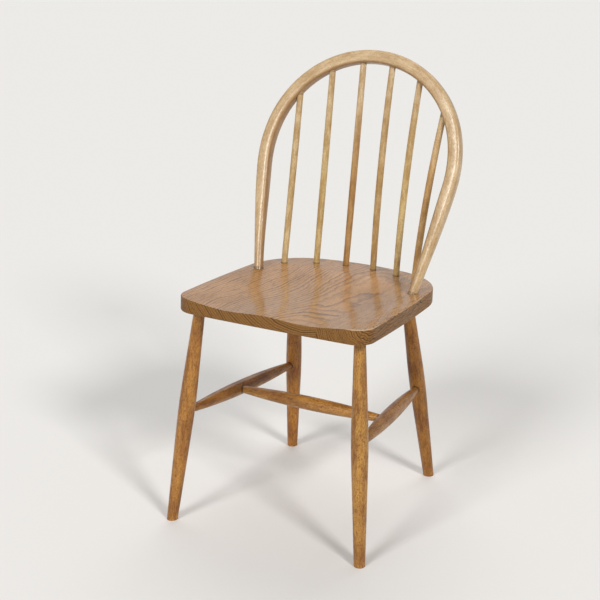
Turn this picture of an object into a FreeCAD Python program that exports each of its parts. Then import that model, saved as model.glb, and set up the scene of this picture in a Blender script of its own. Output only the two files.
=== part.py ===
import FreeCAD, Part
import math
import os
import Sketcher
from FreeCAD import Matrix, Placement, Rotation, Vector

# A hoop-back kitchen windsor chair, in millimetres.
# +Z is up, the front of the chair faces -Y, the origin is on the floor below the middle of the chair.
# "left" is the -X side and "right" the +X side.

doc = FreeCAD.newDocument("WindsorChair")


# Driving dimensions

SIZES = [
    ("seatHeight", 432.3, "top of the seat's front edge above the floor"),
    ("seatFront", 220.3, "middle of the front edge of the seat ahead of the origin"),
    ("seatSlope", 3.9, "degrees that the seat falls towards the back"),
    ("seatThickness", 28.0, "thickness of the seat boards"),
    ("seatDepth", 409.0, "front edge to back edge along the middle"),
    ("seatHalfWidth", 188.0, "middle to the left side at its widest place"),
    ("seatExtraRight", 8.5, "how much wider the hand-sawn seat is on the right"),
    ("seatWidestLeft", 130.0, "widest place of the left side behind the front edge"),
    ("seatWidestRight", 30.0, "widest place of the right side behind the front edge"),
    ("seatSideArc", 3000.0, "radius of the slightly curved sides, seen from above"),
    ("seatFrontArc", 5600.0, "radius of the front edge, seen from above"),
    ("seatFrontTurn", 1.3, "degrees that the front edge is turned, its right end ahead"),
    ("seatBackArc", 407.0, "radius of the back edge, seen from above"),
    ("seatCornerLeft", 41.0, "radius of the front left corner"),
    ("seatCornerRight", 34.0, "radius of the front right corner"),
    ("seatBackCorner", 127.0, "radius of the back corners"),
    ("seatTopRound", 3.0, "rounding of the seat's top edge"),
    ("seatBottomRound", 3.0, "rounding of the seat's bottom edge"),
    ("seatJointShare", 0.548, "share of the half width from the middle to the joint between the boards"),
    ("saddleHollow", 8.5, "depth of the two thigh hollows at the front edge"),
    ("saddleHollowShare", 0.404, "share of the half width from the middle to the deepest line of a hollow"),
    ("saddlePommel", 5.0, "depth of the low ridge between the hollows at the front edge"),
    ("saddleSide", 0.6, "share of the hollow's depth halfway to the rim"),
    ("saddleRim", 14.0, "flat rim left between the dish and the sides"),
    ("saddleBackRim", 74.0, "flat rim left behind the dish for the sticks"),
    ("legInsetFront", 52.7, "front edge of the seat to where a front leg meets it"),
    ("legInsetBack", 71.7, "back edge of the seat to where a back leg meets it"),
    ("legInsetSideFront", 29.4, "side of the seat to where a front leg meets it"),
    ("legInsetSideBack", 70.5, "side of the seat to where a back leg meets it"),
    ("legSpreadFront", 59.6, "foot of a front leg ahead of its top"),
    ("legSpreadBack", 49.7, "foot of a back leg behind its top"),
    ("legSpreadSideFront", 33.3, "foot of a front leg further out than its top"),
    ("legSpreadSideBack", 33.7, "foot of a back leg further out than its top"),
    ("legFootDiameter", 19.6, "leg at the floor"),
    ("legBellyDiameter", 30.4, "leg at its thickest"),
    ("legTopDiameter", 20.0, "leg at the seat, and its tenon"),
    ("legBellyPlace", 0.53, "share of the leg's length below its thickest place"),
    ("legBellyArc", 1500.0, "radius of the swelling along the leg"),
    ("legTenon", 19.0, "how far a leg goes into the seat"),
    ("stretcherFrontLeft", 207.0, "side stretcher's axis above the floor at the front left leg"),
    ("stretcherFrontRight", 214.5, "the same at the front right leg"),
    ("stretcherBackLeft", 189.5, "the same at the back left leg"),
    ("stretcherBackRight", 189.5, "the same at the back right leg"),
    ("sideStretcherDiameter", 27.0, "side stretcher in the middle"),
    ("sideStretcherEnd", 13.0, "side stretcher's ends and tenons"),
    ("crossStretcherDiameter", 26.0, "cross stretcher in the middle"),
    ("crossStretcherEnd", 14.0, "cross stretcher's ends and tenons"),
    ("crossShareLeft", 0.46, "share of the left side stretcher in front of the cross stretcher"),
    ("crossShareRight", 0.415, "share of the right side stretcher in front of the cross stretcher"),
    ("sideTenon", 16.0, "how far a side stretcher goes into a leg"),
    ("crossTenon", 14.0, "how far the cross stretcher goes into a side stretcher"),
    ("bowInset", 28.0, "side of the seat to the middle of the bow's foot"),
    ("bowFootAhead", 139.9, "bow's foot ahead of the seat's back edge"),
    ("bowLean", 24.4, "degrees that the bow leans back from upright"),
    ("bowSplay", 10.6, "degrees that the bow's legs spread where they leave the seat"),
    ("bowLegRadius", 3230.0, "gentle curve of the bow's legs"),
    ("bowLegLength", 199.5, "length of that gentle curve"),
    ("bowShoulderRadius", 222.5, "radius of the bow's shoulders"),
    ("bowShoulderSweep", 20.2, "degrees that each shoulder turns"),
    ("bowWidth", 24.8, "bow across its flat face"),
    ("bowThickness", 24.0, "bow from front to back"),
    ("bowSquareness", 3.8, "2 is an oval section, more is squarer"),
    ("bowFootDiameter", 17.6, "round foot of the bow"),
    ("bowTaper", 195.0, "length over which the foot becomes the full section"),
    ("stickShareInner", 0.1537, "share of the seat's half width from the middle to the inner sticks"),
    ("stickShareMiddle", 0.4479, "share of the half width to the second pair"),
    ("stickShareOuter", 0.7234, "share of the half width to the outer pair"),
    ("stickInsetInner", 31.5, "back edge of the seat to the inner pair"),
    ("stickInsetMiddle", 47.5, "back edge of the seat to the second pair"),
    ("stickInsetOuter", 82.0, "back edge of the seat to the outer pair"),
    ("stickTopShareInner", 0.1875, "share of the bow's half width at its feet to the inner tops"),
    ("stickTopShareMiddle", 0.5638, "share of that half width to the tops of the second pair"),
    ("stickTopShareOuter", 0.9269, "share of that half width to the tops of the outer pair"),
    ("stickDriftShare", 0.0263, "share of that half width that all the tops stand to the right"),
    ("stickDiameter", 12.7, "stick in the middle"),
    ("stickEnd", 11.7, "stick's ends and tenons"),
    ("stickTenon", 18.0, "how far a stick goes into the seat"),
    ("stickTopTenon", 11.0, "how far a stick goes into the bow"),
    ("stickSwell", 0.7, "share of the stick's swelling already reached near its ends"),
    ("stickSwellPlace", 0.2, "share of the stick's length where that is"),
    ("stickSpring", 4.0, "how far the three right sticks are bent to the left"),
    ("wedgeThickness", 3.0, "wedge in the bow's foot at the underside of the seat"),
    ("wedgeEdge", 0.6, "wedge at its thin edge"),
    ("wedgeLength", 20.0, "wedge from its thin edge to the underside"),
    ("glueLine", 0.05, "gap round each tenon and wedge, and between the boards"),
]

sheet = doc.addObject("Spreadsheet::Sheet", "Sizes")
for row, (alias, value, meaning) in enumerate(SIZES, start=1):
    sheet.set(f"A{row}", meaning)
    sheet.set(f"B{row}", str(value))
    sheet.setAlias(f"B{row}", alias)
doc.recompute()
size = {alias: float(sheet.get(alias)) for alias, value, meaning in SIZES}


# Planes and directions

def along(start, end, share):
    return start + (end - start) * share


def frameAlong(origin, direction, across):
    """A placement whose Z runs along direction, with its X as near to across as it can be."""
    z = Vector(direction).normalize()
    x = (across - z * across.dot(z)).normalize()
    y = z.cross(x)
    turn = Matrix(x.x, y.x, z.x, 0, x.y, y.y, z.y, 0, x.z, y.z, z.z, 0, 0, 0, 0, 1)
    return Placement(origin, Rotation(turn))


SIDE = {"left": -1, "right": 1}
ACROSS = Vector(1, 0, 0)
BACKWARDS = Vector(0, 1, 0)

seatTilt = Rotation(ACROSS, -size["seatSlope"])
seatNormal = seatTilt.multVec(Vector(0, 0, 1))
seatTop = Placement(Vector(0, -size["seatFront"], size["seatHeight"]), seatTilt)
seatUnderside = Placement(seatTop.Base - seatNormal * size["seatThickness"], seatTilt)
seatBack = size["seatDepth"] - size["seatFront"]


def onPlane(plane, x, y):
    """The point of the seat's top or underside straight above or below x, y."""
    base = plane.Base
    return Vector(x, y, base.z - seatNormal.y / seatNormal.z * (y - base.y))


def meetPlane(plane, point, direction):
    """Where a line meets the seat's top or underside."""
    return point + direction * ((plane.Base - point).dot(seatNormal) / direction.dot(seatNormal))


# Leg axes: from the foot on the floor to the seat's underside

LEG_AXES = {}
for sideName, side in SIDE.items():
    for endName, end, edge in (("front", -1, size["seatFront"]), ("back", 1, seatBack)):
        part = endName.capitalize()
        topX = size["seatHalfWidth"] - size[f"legInsetSide{part}"]
        topY = edge - size[f"legInset{part}"]
        foot = Vector(side * (topX + size[f"legSpreadSide{part}"]),
                      end * (topY + size[f"legSpread{part}"]), 0)
        top = onPlane(seatUnderside, side * topX, end * topY)
        LEG_AXES[f"leg_{endName}_{sideName}"] = (foot, top)


def legRadius(distance, length):
    """Radius of a leg at a distance from its foot: a taper, the swelling's arc and a second taper."""
    points = legProfile(length)
    low, lowTouch, belly, highTouch, high = points
    if distance < lowTouch.y:
        return low.x + (lowTouch.x - low.x) * (distance - low.y) / (lowTouch.y - low.y)
    if distance > highTouch.y:
        return highTouch.x + (high.x - highTouch.x) * (distance - highTouch.y) / (high.y - highTouch.y)
    return belly.x - size["legBellyArc"] + math.sqrt(size["legBellyArc"] ** 2 - (distance - belly.y) ** 2)


def touchPoint(centre, radius, point, turn):
    """Where the line from a point touches a circle, on the side given by turn (1 or -1)."""
    away = point - centre
    angle = math.atan2(away.y, away.x) + turn * math.acos(radius / away.Length)
    return centre + Vector(math.cos(angle), math.sin(angle), 0) * radius


def legProfile(length):
    """Corners of a leg's outline as (radius, distance from the foot)."""
    swell = size["legBellyArc"]
    belly = Vector(size["legBellyDiameter"] / 2, length * size["legBellyPlace"], 0)
    centre = belly - Vector(swell, 0, 0)
    low = Vector(size["legFootDiameter"] / 2, -size["legFootDiameter"] / 2, 0)
    high = Vector(size["legTopDiameter"] / 2, length, 0)
    return low, touchPoint(centre, swell, low, 1), belly, touchPoint(centre, swell, high, -1), high


# Stretcher axes: from the front leg's axis to the back leg's, and across between the side stretchers

STRETCHER_AXES = {}
for sideName in SIDE:
    ends = []
    for endName in ("Front", "Back"):
        foot, top = LEG_AXES[f"leg_{endName.lower()}_{sideName}"]
        ends.append(along(foot, top, size[f"stretcher{endName}{sideName.capitalize()}"] / top.z))
    STRETCHER_AXES[f"side_stretcher_{sideName}"] = tuple(ends)
STRETCHER_AXES["cross_stretcher"] = tuple(
    along(*STRETCHER_AXES[f"side_stretcher_{sideName}"], size[f"crossShare{sideName.capitalize()}"])
    for sideName in SIDE)


# The bow's centre line: in a leaning plane, where rise is measured up the slope of the plane

bowLean = math.radians(size["bowLean"])
bowUp = Vector(0, math.sin(bowLean), math.cos(bowLean))
bowBase = onPlane(seatTop, 0, seatBack - size["bowFootAhead"])
bowFootHalf = size["seatHalfWidth"] - size["bowInset"]


def bowPath(distance):
    """The right half of the centre line as (x, rise, heading) at a distance from the seat.
    The heading is the angle from straight up the plane towards the outside."""
    x = bowFootHalf
    heading = math.radians(size["bowSplay"])
    rise = 0.0
    if distance <= 0:
        return x + distance * math.sin(heading), distance * math.cos(heading), heading
    shoulderLength = size["bowShoulderRadius"] * math.radians(size["bowShoulderSweep"])
    arcs = ((size["bowLegRadius"], size["bowLegLength"]),
            (size["bowShoulderRadius"], shoulderLength))
    for radius, length in arcs:
        turned = heading - min(distance, length) / radius
        x += radius * (math.cos(turned) - math.cos(heading))
        rise += radius * (math.sin(heading) - math.sin(turned))
        heading = turned
        distance -= length
        if distance <= 0:
            return x, rise, heading
    crown = x / math.cos(heading)
    turned = heading - distance / crown
    return crown * math.cos(turned), rise + crown * (math.sin(heading) - math.sin(turned)), turned


PRECISION = 1e-7


def solve(low, high, isBefore):
    """The place between low and high where isBefore turns from true to false."""
    while high - low > PRECISION:
        middle = (low + high) / 2
        if isBefore(middle):
            low = middle
        else:
            high = middle
    return (low + high) / 2


bowHalfLength = solve(0, 2 * size["bowLegLength"] + 4 * bowFootHalf,
                      lambda distance: bowPath(distance)[2] > -math.pi / 2)


ROUND = 2.0


def bowSection(distance):
    """Half width, half thickness and squareness of the bow at a distance from the seat."""
    share = min(max(distance / size["bowTaper"], 0.0), 1.0)
    share = share * share * (3 - 2 * share)
    footRadius = size["bowFootDiameter"] / 2
    return (along(footRadius, size["bowWidth"] / 2, share),
            along(footRadius, size["bowThickness"] / 2, share),
            along(ROUND, size["bowSquareness"], share))


def bowPoint(x, rise):
    return bowBase + ACROSS * x + bowUp * rise


def bowInnerEdge(distance):
    x, rise, heading = bowPath(distance)
    inset = bowSection(distance)[0]
    return x - inset * math.cos(heading), rise + inset * math.sin(heading)


BOW_FEET = {}
for sideName, side in SIDE.items():
    x, rise, heading = bowPath(0)
    direction = ACROSS * side * math.sin(heading) + bowUp * math.cos(heading)
    BOW_FEET[sideName] = (bowPoint(side * x, rise), direction)


# Stick axes: from the seat's top to the bow's inner edge, numbered from left to right

STICK_AXES = {}
STICK_BENDS = {}
PAIRS = ("Outer", "Middle", "Inner", "Inner", "Middle", "Outer")
for number, pair in enumerate(PAIRS, start=1):
    side = -1 if number <= len(PAIRS) / 2 else 1
    base = onPlane(seatTop, side * size[f"stickShare{pair}"] * size["seatHalfWidth"],
                   seatBack - size[f"stickInset{pair}"])
    topX = (side * size[f"stickTopShare{pair}"] + size["stickDriftShare"]) * bowFootHalf
    place = solve(size["bowLegLength"], bowHalfLength,
                  lambda distance: bowInnerEdge(distance)[0] > abs(topX))
    top = bowPoint(topX, bowInnerEdge(place)[1])
    STICK_AXES[f"stick_{number}"] = (base, top)
    STICK_BENDS[f"stick_{number}"] = size["stickSpring"] if side > 0 else 0.0


def stickPath(name, distance):
    """Point and direction on a stick's centre line. Its tenons run straight on from its two ends."""
    base, top = STICK_AXES[name]
    bend = STICK_BENDS[name]
    run = top - base
    share = min(max(distance / run.Length, 0.0), 1.0)
    point = base + run * share - ACROSS * (4 * bend * share * (1 - share))
    direction = (run - ACROSS * (4 * bend * (1 - 2 * share))).normalize()
    return point + direction * (distance - share * run.Length), direction


# Ways of making a piece

def newBody(label, place):
    body = doc.addObject("PartDesign::Body", label)
    body.Label = label
    body.Placement = place
    return body


def planeSketch(body, name, role, offset=0.0):
    """A sketch on one of the body's own planes."""
    sketch = body.newObject("Sketcher::SketchObject", name)
    plane = next(feature for feature in body.Origin.OriginFeatures if feature.Role == role)
    sketch.AttachmentSupport = [(plane, "")]
    sketch.MapMode = "FlatFace"
    sketch.AttachmentOffset = Placement(Vector(0, 0, offset), Rotation())
    return sketch


def stationSketch(body, name, worldPlace):
    """A sketch across a centre line, at a placement in the chair's frame."""
    sketch = body.newObject("Sketcher::SketchObject", name)
    sketch.MapMode = "Deactivated"
    sketch.Placement = body.Placement.inverse().multiply(worldPlace)
    return sketch


def constrain(sketch, *constraints):
    for constraint in constraints:
        sketch.addConstraint(Sketcher.Constraint(*constraint))


def dimension(sketch, expression, *constraint):
    """A driving dimension of a sketch, worked out from the sheet."""
    index = sketch.addConstraint(Sketcher.Constraint(*constraint))
    sketch.setExpression(f"Constraints[{index}]", expression)


def bind(feature, **expressions):
    for name, expression in expressions.items():
        feature.setExpression(name, expression)


def addLines(sketch, points):
    for start, end in zip(points, points[1:]):
        sketch.addGeometry(Part.LineSegment(start, end))


def joinCurves(sketch, first, last):
    """Joins the curves from first to last end to end."""
    for curve in range(first, last):
        constrain(sketch, ("Coincident", curve, 2, curve + 1, 1))


def revolve(body, sketch):
    turned = body.newObject("PartDesign::Revolution", "turned")
    turned.Profile = sketch
    turned.ReferenceAxis = (sketch, ["V_Axis"])
    turned.Angle = 360


def loft(body, kind, sections):
    lofted = body.newObject(f"PartDesign::{kind}", "lofted")
    lofted.Profile = sections[0]
    lofted.Sections = sections[1:]


def bore(body, name, worldPlace, radius, depth):
    """A round hole from a placement in the chair's frame, along its Z."""
    hole = body.newObject("PartDesign::SubtractiveCylinder", name)
    hole.Placement = body.Placement.inverse().multiply(worldPlace)
    bind(hole, Radius=radius, Height=depth)


def trimBelow(body, name, worldPlace):
    """Cuts the piece off flush with the XY plane of a placement in the chair's frame."""
    reach = 3 * size["seatThickness"]
    box = body.newObject("PartDesign::SubtractiveBox", name)
    corner = Placement(Vector(-reach, -reach, -reach), Rotation())
    box.Placement = body.Placement.inverse().multiply(worldPlace).multiply(corner)
    box.Length = 2 * reach
    box.Width = 2 * reach
    box.Height = reach


# Seat: two boards glued edge to edge, dished on top. Its own frame has the front edge along X.

def arcOn(circle, start, end):
    """The start, middle and end of an arc on a circle, given as a centre and a radius."""
    centre, radius = circle
    return start, centre + (along(start, end, 0.5) - centre).normalize() * radius, end


def roundCorner(first, second, radius, near):
    """The arc that rounds a corner between two circles, touching both."""
    reach = first[1] - radius
    run = second[0] - first[0]
    share = (reach ** 2 - (second[1] - radius) ** 2 + run.Length ** 2) / (2 * run.Length)
    aside = Vector(-run.y, run.x, 0).normalize() * math.sqrt(reach ** 2 - share ** 2)
    foot = first[0] + Vector(run).normalize() * share
    centre = min(foot + aside, foot - aside, key=lambda point: (point - near).Length)
    start, end = (centre + (centre - circle[0]).normalize() * radius for circle in (first, second))
    return arcOn((centre, radius), start, end)


def seatOutline():
    """The outline from above, anticlockwise from the left end of the front edge."""
    depth = size["seatDepth"]
    turn = math.radians(size["seatFrontTurn"])
    frontArc, sideArc, backArc = (size[f"seat{name}Arc"] for name in ("Front", "Side", "Back"))
    frontCircle = (Vector(math.sin(turn), math.cos(turn), 0) * frontArc, frontArc)
    backCircle = (Vector(0, depth - backArc, 0), backArc)
    sides = {}
    for sideName, side in SIDE.items():
        halfWidth = size["seatHalfWidth"] + (size["seatExtraRight"] if side > 0 else 0)
        part = sideName.capitalize()
        sideCircle = (Vector(side * (halfWidth - sideArc), size[f"seatWidest{part}"], 0), sideArc)
        frontCorner = roundCorner(frontCircle, sideCircle, size[f"seatCorner{part}"],
                                  Vector(side * halfWidth, 0, 0))
        backCorner = roundCorner(sideCircle, backCircle, size["seatBackCorner"],
                                 Vector(side * halfWidth, depth, 0))
        sides[sideName] = [frontCorner, arcOn(sideCircle, frontCorner[2], backCorner[0]), backCorner]
    front = arcOn(frontCircle, sides["left"][0][0], sides["right"][0][0])
    back = arcOn(backCircle, sides["right"][-1][2], sides["left"][-1][2])
    left = [arc[::-1] for arc in reversed(sides["left"])]
    return [front, *sides["right"], back, *left]


# The dish from front to back: share of its length, then shares of saddleHollow and saddlePommel.
# It starts a little ahead of the front edge, so that it cuts cleanly through it.
DISH = [
    (-0.05, 0.95, 1.0),
    (0.15, 1.08, 1.2),
    (0.38, 1.18, 1.75),
    (0.62, 1.1, 1.8),
    (0.84, 0.6, 1.0),
    (1.0, 0.0, 0.0),
]


def dishSection(body, name, depthIn, hollowShare, pommelShare):
    """Closed section of the tool that dishes the seat: a hollow for each thigh and a low ridge between."""
    rimX = size["seatHalfWidth"] - size["saddleRim"]
    deepX = size["saddleHollowShare"] * size["seatHalfWidth"]
    deep = hollowShare * size["saddleHollow"]
    ridge = pommelShare * size["saddlePommel"]
    clear = size["seatTopRound"] / 3
    right = [
        Vector(deepX / 2, -(deep + ridge) / 2, 0),
        Vector(deepX, -deep, 0),
        Vector((deepX + rimX) / 2, -size["saddleSide"] * deep, 0),
        Vector(rimX, 0, 0),
        Vector(rimX + size["saddleRim"], clear, 0),
    ]
    left = [Vector(-point.x, point.y, 0) for point in reversed(right)]
    points = [*left, Vector(0, -ridge, 0), *right]
    if hollowShare == 0:
        points = [Vector(point.x, clear, 0) for point in points]
    sketch = planeSketch(body, name, "XZ_Plane", -depthIn)
    curve = Part.BSplineCurve()
    curve.interpolate(points)
    sketch.addGeometry(curve)
    up = Vector(0, size["seatThickness"], 0)
    addLines(sketch, [points[-1], points[-1] + up, points[0] + up, points[0]])
    return sketch


def edgesAtHeight(shape, height):
    return [f"Edge{index}" for index, edge in enumerate(shape.Edges, start=1)
            if all(abs(vertex.Z - height) < 10 * PRECISION for vertex in edge.Vertexes)]


def makeSeatBoard(label, sideName):
    jointX = size["seatJointShare"] * size["seatHalfWidth"]
    body = newBody(label, seatTop)
    outline = planeSketch(body, "outline", "XY_Plane")
    for arc in seatOutline():
        outline.addGeometry(Part.Arc(*arc))
    joinCurves(outline, 0, outline.GeometryCount - 1)
    blank = body.newObject("PartDesign::Pad", "blank")
    blank.Profile = outline
    blank.Reversed = True
    bind(blank, Length="Sizes.seatThickness")
    doc.recompute()
    for name, height in (("seatBottomRound", -size["seatThickness"]), ("seatTopRound", 0.0)):
        local = body.Tip.Shape
        edges = edgesAtHeight(local, height)
        rounded = body.newObject("PartDesign::Fillet", name)
        rounded.Base = (rounded.BaseFeature, edges)
        bind(rounded, Radius=f"Sizes.{name}")
        doc.recompute()
    dishLength = size["seatDepth"] - size["saddleBackRim"]
    loft(body, "SubtractiveLoft", [dishSection(body, f"dish_{index}", share * dishLength, hollow, pommel)
                                   for index, (share, hollow, pommel) in enumerate(DISH, start=1)])
    doc.recompute()

    isLeft = sideName == "left"
    spare = 2 * size["seatHalfWidth"]
    beyond = body.newObject("PartDesign::SubtractiveBox", "beyond_joint")
    beyond.Length = spare
    beyond.Width = 2 * size["seatDepth"]
    beyond.Height = 3 * size["seatThickness"]
    startX = jointX if isLeft else jointX + size["glueLine"] - spare
    corner = Vector(startX, -size["seatDepth"] / 2, -2 * size["seatThickness"])
    beyond.Placement = Placement(corner, Rotation())

    def isHere(point):
        return (point.x < jointX) == isLeft

    for name, (foot, top) in LEG_AXES.items():
        if isHere(top):
            axis = (foot - top).normalize()
            start = top - axis * (size["legTenon"] + size["glueLine"])
            bore(body, f"socket_{name}", frameAlong(start, axis, ACROSS),
                 "Sizes.legTopDiameter / 2 + Sizes.glueLine", "2 * Sizes.legTenon")
    for name in STICK_AXES:
        base, direction = stickPath(name, 0)
        if isHere(base):
            start = base - direction * (size["stickTenon"] + size["glueLine"])
            bore(body, f"socket_{name}", frameAlong(start, direction, ACROSS),
                 "Sizes.stickEnd / 2 + Sizes.glueLine", "2 * Sizes.stickTenon")
    for name, (point, direction) in BOW_FEET.items():
        if isHere(point):
            start = point - direction * 2 * size["seatThickness"]
            bore(body, f"bow_hole_{name}", frameAlong(start, direction, ACROSS),
                 "Sizes.bowFootDiameter / 2 + Sizes.glueLine", "3 * Sizes.seatThickness")


# Legs: turned, swelling to the stretchers and tapering to both ends

def makeLeg(label):
    foot, top = LEG_AXES[label]
    length = (top - foot).Length
    body = newBody(label, frameAlong(foot, top - foot, ACROSS))
    low, lowTouch, belly, highTouch, high = legProfile(length)
    tenonEnd = Vector(high.x, high.y + size["legTenon"], 0)
    profile = planeSketch(body, "profile", "XZ_Plane")
    profile.addGeometry(Part.LineSegment(low, lowTouch))
    profile.addGeometry(Part.Arc(lowTouch, belly, highTouch))
    addLines(profile, [highTouch, high, tenonEnd, Vector(0, tenonEnd.y, 0), Vector(0, low.y, 0), low])
    joinCurves(profile, 2, 6)
    constrain(profile, ("Coincident", 6, 2, 0, 1), ("Tangent", 0, 2, 1, 1), ("Tangent", 1, 2, 2, 1),
              ("Vertical", 3), ("Horizontal", 4), ("Horizontal", 6),
              ("PointOnObject", 5, 1, -2), ("PointOnObject", 5, 2, -2))
    dimension(profile, "Sizes.legFootDiameter / 2", "DistanceX", -1, 1, 0, 1, low.x)
    dimension(profile, "Sizes.legFootDiameter / 2", "DistanceY", 0, 1, -1, 1, -low.y)
    dimension(profile, "Sizes.legTopDiameter / 2", "DistanceX", -1, 1, 2, 2, high.x)
    dimension(profile, f"{length}", "DistanceY", -1, 1, 2, 2, length)
    dimension(profile, "Sizes.legTenon", "DistanceY", 2, 2, 3, 2, size["legTenon"])
    dimension(profile, "Sizes.legBellyArc", "Radius", 1, size["legBellyArc"])
    dimension(profile, "Sizes.legBellyArc - Sizes.legBellyDiameter / 2",
              "DistanceX", 1, 3, -1, 1, size["legBellyArc"] - belly.x)
    dimension(profile, f"{length} * Sizes.legBellyPlace", "DistanceY", -1, 1, 1, 3, belly.y)
    revolve(body, profile)
    trimBelow(body, "sole", Placement(foot, Rotation()))
    for name, axis in STRETCHER_AXES.items():
        if name.endswith(label.split("_")[-1]):
            near, far = axis if "front" in label else axis[::-1]
            direction = (far - near).normalize()
            radius = legRadius((near - foot).Length, length)
            start = near + direction * (radius - size["sideTenon"] - size["glueLine"])
            bore(body, f"socket_{name}", frameAlong(start, direction, ACROSS),
                 "Sizes.sideStretcherEnd / 2 + Sizes.glueLine", "2 * Sizes.legBellyDiameter")


# Stretchers: turned, thick in the middle, with tenons at both ends

def makeStretcher(label, kind, startRadius, endRadius, tenon):
    """The two radii are those of the pieces that the stretcher goes into."""
    start, end = STRETCHER_AXES[label]
    length = (end - start).Length
    body = newBody(label, frameAlong(start, end - start, Vector(0, 0, 1)))
    endR = size[f"{kind}StretcherEnd"] / 2
    middleR = size[f"{kind}StretcherDiameter"] / 2
    low = Vector(endR, startRadius, 0)
    high = Vector(endR, length - endRadius, 0)
    tenonLow = low - Vector(0, tenon, 0)
    tenonHigh = high + Vector(0, tenon, 0)
    half = (high.y - low.y) / 2
    bulge = middleR - endR
    swell = (half * half + bulge * bulge) / (2 * bulge)
    profile = planeSketch(body, "profile", "XZ_Plane")
    addLines(profile, [tenonLow, low])
    profile.addGeometry(Part.Arc(low, Vector(middleR, low.y + half, 0), high))
    addLines(profile, [high, tenonHigh, Vector(0, tenonHigh.y, 0), Vector(0, tenonLow.y, 0), tenonLow])
    joinCurves(profile, 0, 5)
    constrain(profile, ("Coincident", 5, 2, 0, 1), ("Vertical", 0), ("Vertical", 2), ("Horizontal", 3),
              ("Horizontal", 5), ("PointOnObject", 4, 1, -2), ("PointOnObject", 4, 2, -2))
    dimension(profile, f"Sizes.{kind}StretcherEnd / 2", "DistanceX", -1, 1, 0, 2, endR)
    dimension(profile, f"Sizes.{kind}StretcherEnd / 2", "DistanceX", -1, 1, 2, 1, endR)
    dimension(profile, f"{low.y}", "DistanceY", -1, 1, 0, 2, low.y)
    dimension(profile, f"{high.y}", "DistanceY", -1, 1, 2, 1, high.y)
    dimension(profile, f"Sizes.{kind}Tenon", "DistanceY", 0, 1, 0, 2, tenon)
    dimension(profile, f"Sizes.{kind}Tenon", "DistanceY", 2, 1, 2, 2, tenon)
    dimension(profile, f"{swell}", "Radius", 1, swell)
    revolve(body, profile)
    return body


def stretcherRadius(share):
    """Radius of a side stretcher at a share of its length."""
    return size["sideStretcherEnd"] / 2 + (size["sideStretcherDiameter"] - size["sideStretcherEnd"]) / 2 * (
        1 - (2 * share - 1) ** 2)


def makeStretchers():
    crossRadii = {sideName: stretcherRadius(size[f"crossShare{sideName.capitalize()}"])
                  for sideName in SIDE}
    crossStart, crossEnd = STRETCHER_AXES["cross_stretcher"]
    for sideName, side in SIDE.items():
        label = f"side_stretcher_{sideName}"
        radii = []
        for endName, point in zip(("front", "back"), STRETCHER_AXES[label]):
            foot, top = LEG_AXES[f"leg_{endName}_{sideName}"]
            radii.append(legRadius((point - foot).Length, (top - foot).Length))
        body = makeStretcher(label, "side", *radii, size["sideTenon"])
        near = crossStart if sideName == "left" else crossEnd
        direction = (crossEnd - crossStart).normalize() * -side
        start = near + direction * (crossRadii[sideName] - size["crossTenon"] - size["glueLine"])
        bore(body, "socket_cross_stretcher", frameAlong(start, direction, Vector(0, 0, 1)),
             "Sizes.crossStretcherEnd / 2 + Sizes.glueLine", "2 * Sizes.sideStretcherDiameter")
    makeStretcher("cross_stretcher", "cross", crossRadii["left"], crossRadii["right"], size["crossTenon"])


# Bow: one bent rod, round at its feet and flat-faced above, through the seat and wedged from below

SECTION_CORNERS = 24
STATIONS_PER_HALF = 18


def bowStation(body, name, distance, side):
    x, rise, heading = bowPath(distance)
    direction = ACROSS * math.sin(heading) + bowUp * math.cos(heading)
    outwards = ACROSS * math.cos(heading) - bowUp * math.sin(heading)
    if side < 0:
        direction = Vector(direction.x, -direction.y, -direction.z)
        outwards = Vector(-outwards.x, outwards.y, outwards.z)
    halfWidth, halfThickness, squareness = bowSection(distance)
    sketch = stationSketch(body, name, frameAlong(bowPoint(side * x, rise), direction, outwards))
    points = []
    for index in range(SECTION_CORNERS):
        angle = 2 * math.pi * index / SECTION_CORNERS
        c, s = math.cos(angle), math.sin(angle)
        points.append(Vector(math.copysign(abs(c) ** (2 / squareness), c) * halfWidth,
                             math.copysign(abs(s) ** (2 / squareness), s) * halfThickness, 0))
    curve = Part.BSplineCurve()
    curve.interpolate(Points=points, PeriodicFlag=True)
    sketch.addGeometry(curve)
    return sketch


def wedgeShape(body, kind, name, gap):
    """The wedge, or with a gap the kerf for it, from below the seat's underside up into the bow's foot."""
    spare = size["seatThickness"] / 4
    flare = (size["wedgeThickness"] - size["wedgeEdge"]) / size["wedgeLength"]
    wedge = body.newObject(f"PartDesign::{kind}Wedge", name)
    widest = size["wedgeThickness"] + flare * spare + 2 * gap
    narrowest = size["wedgeEdge"] + 2 * gap
    halfWide = size["bowFootDiameter"] / 2
    reach = math.sqrt(halfWide ** 2 - (widest / 2) ** 2) if gap == 0 else 2 * halfWide
    wedge.Ymin, wedge.Ymax = -spare, size["wedgeLength"] + gap
    wedge.Xmin, wedge.Xmax = -widest / 2, widest / 2
    wedge.X2min, wedge.X2max = -narrowest / 2, narrowest / 2
    wedge.Zmin, wedge.Zmax = -reach, reach
    wedge.Z2min, wedge.Z2max = -reach, reach
    return wedge


def wedgePlace(sideName):
    """Y up the bow's foot, Z across the chair, so that the wedge spreads the foot along the seat's grain."""
    point, direction = BOW_FEET[sideName]
    start = meetPlane(seatUnderside, point, direction)
    upright = frameAlong(start, direction, BACKWARDS)
    return upright.multiply(Placement(Vector(0, 0, 0), Rotation(Vector(1, 0, 0), 90)))


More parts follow.
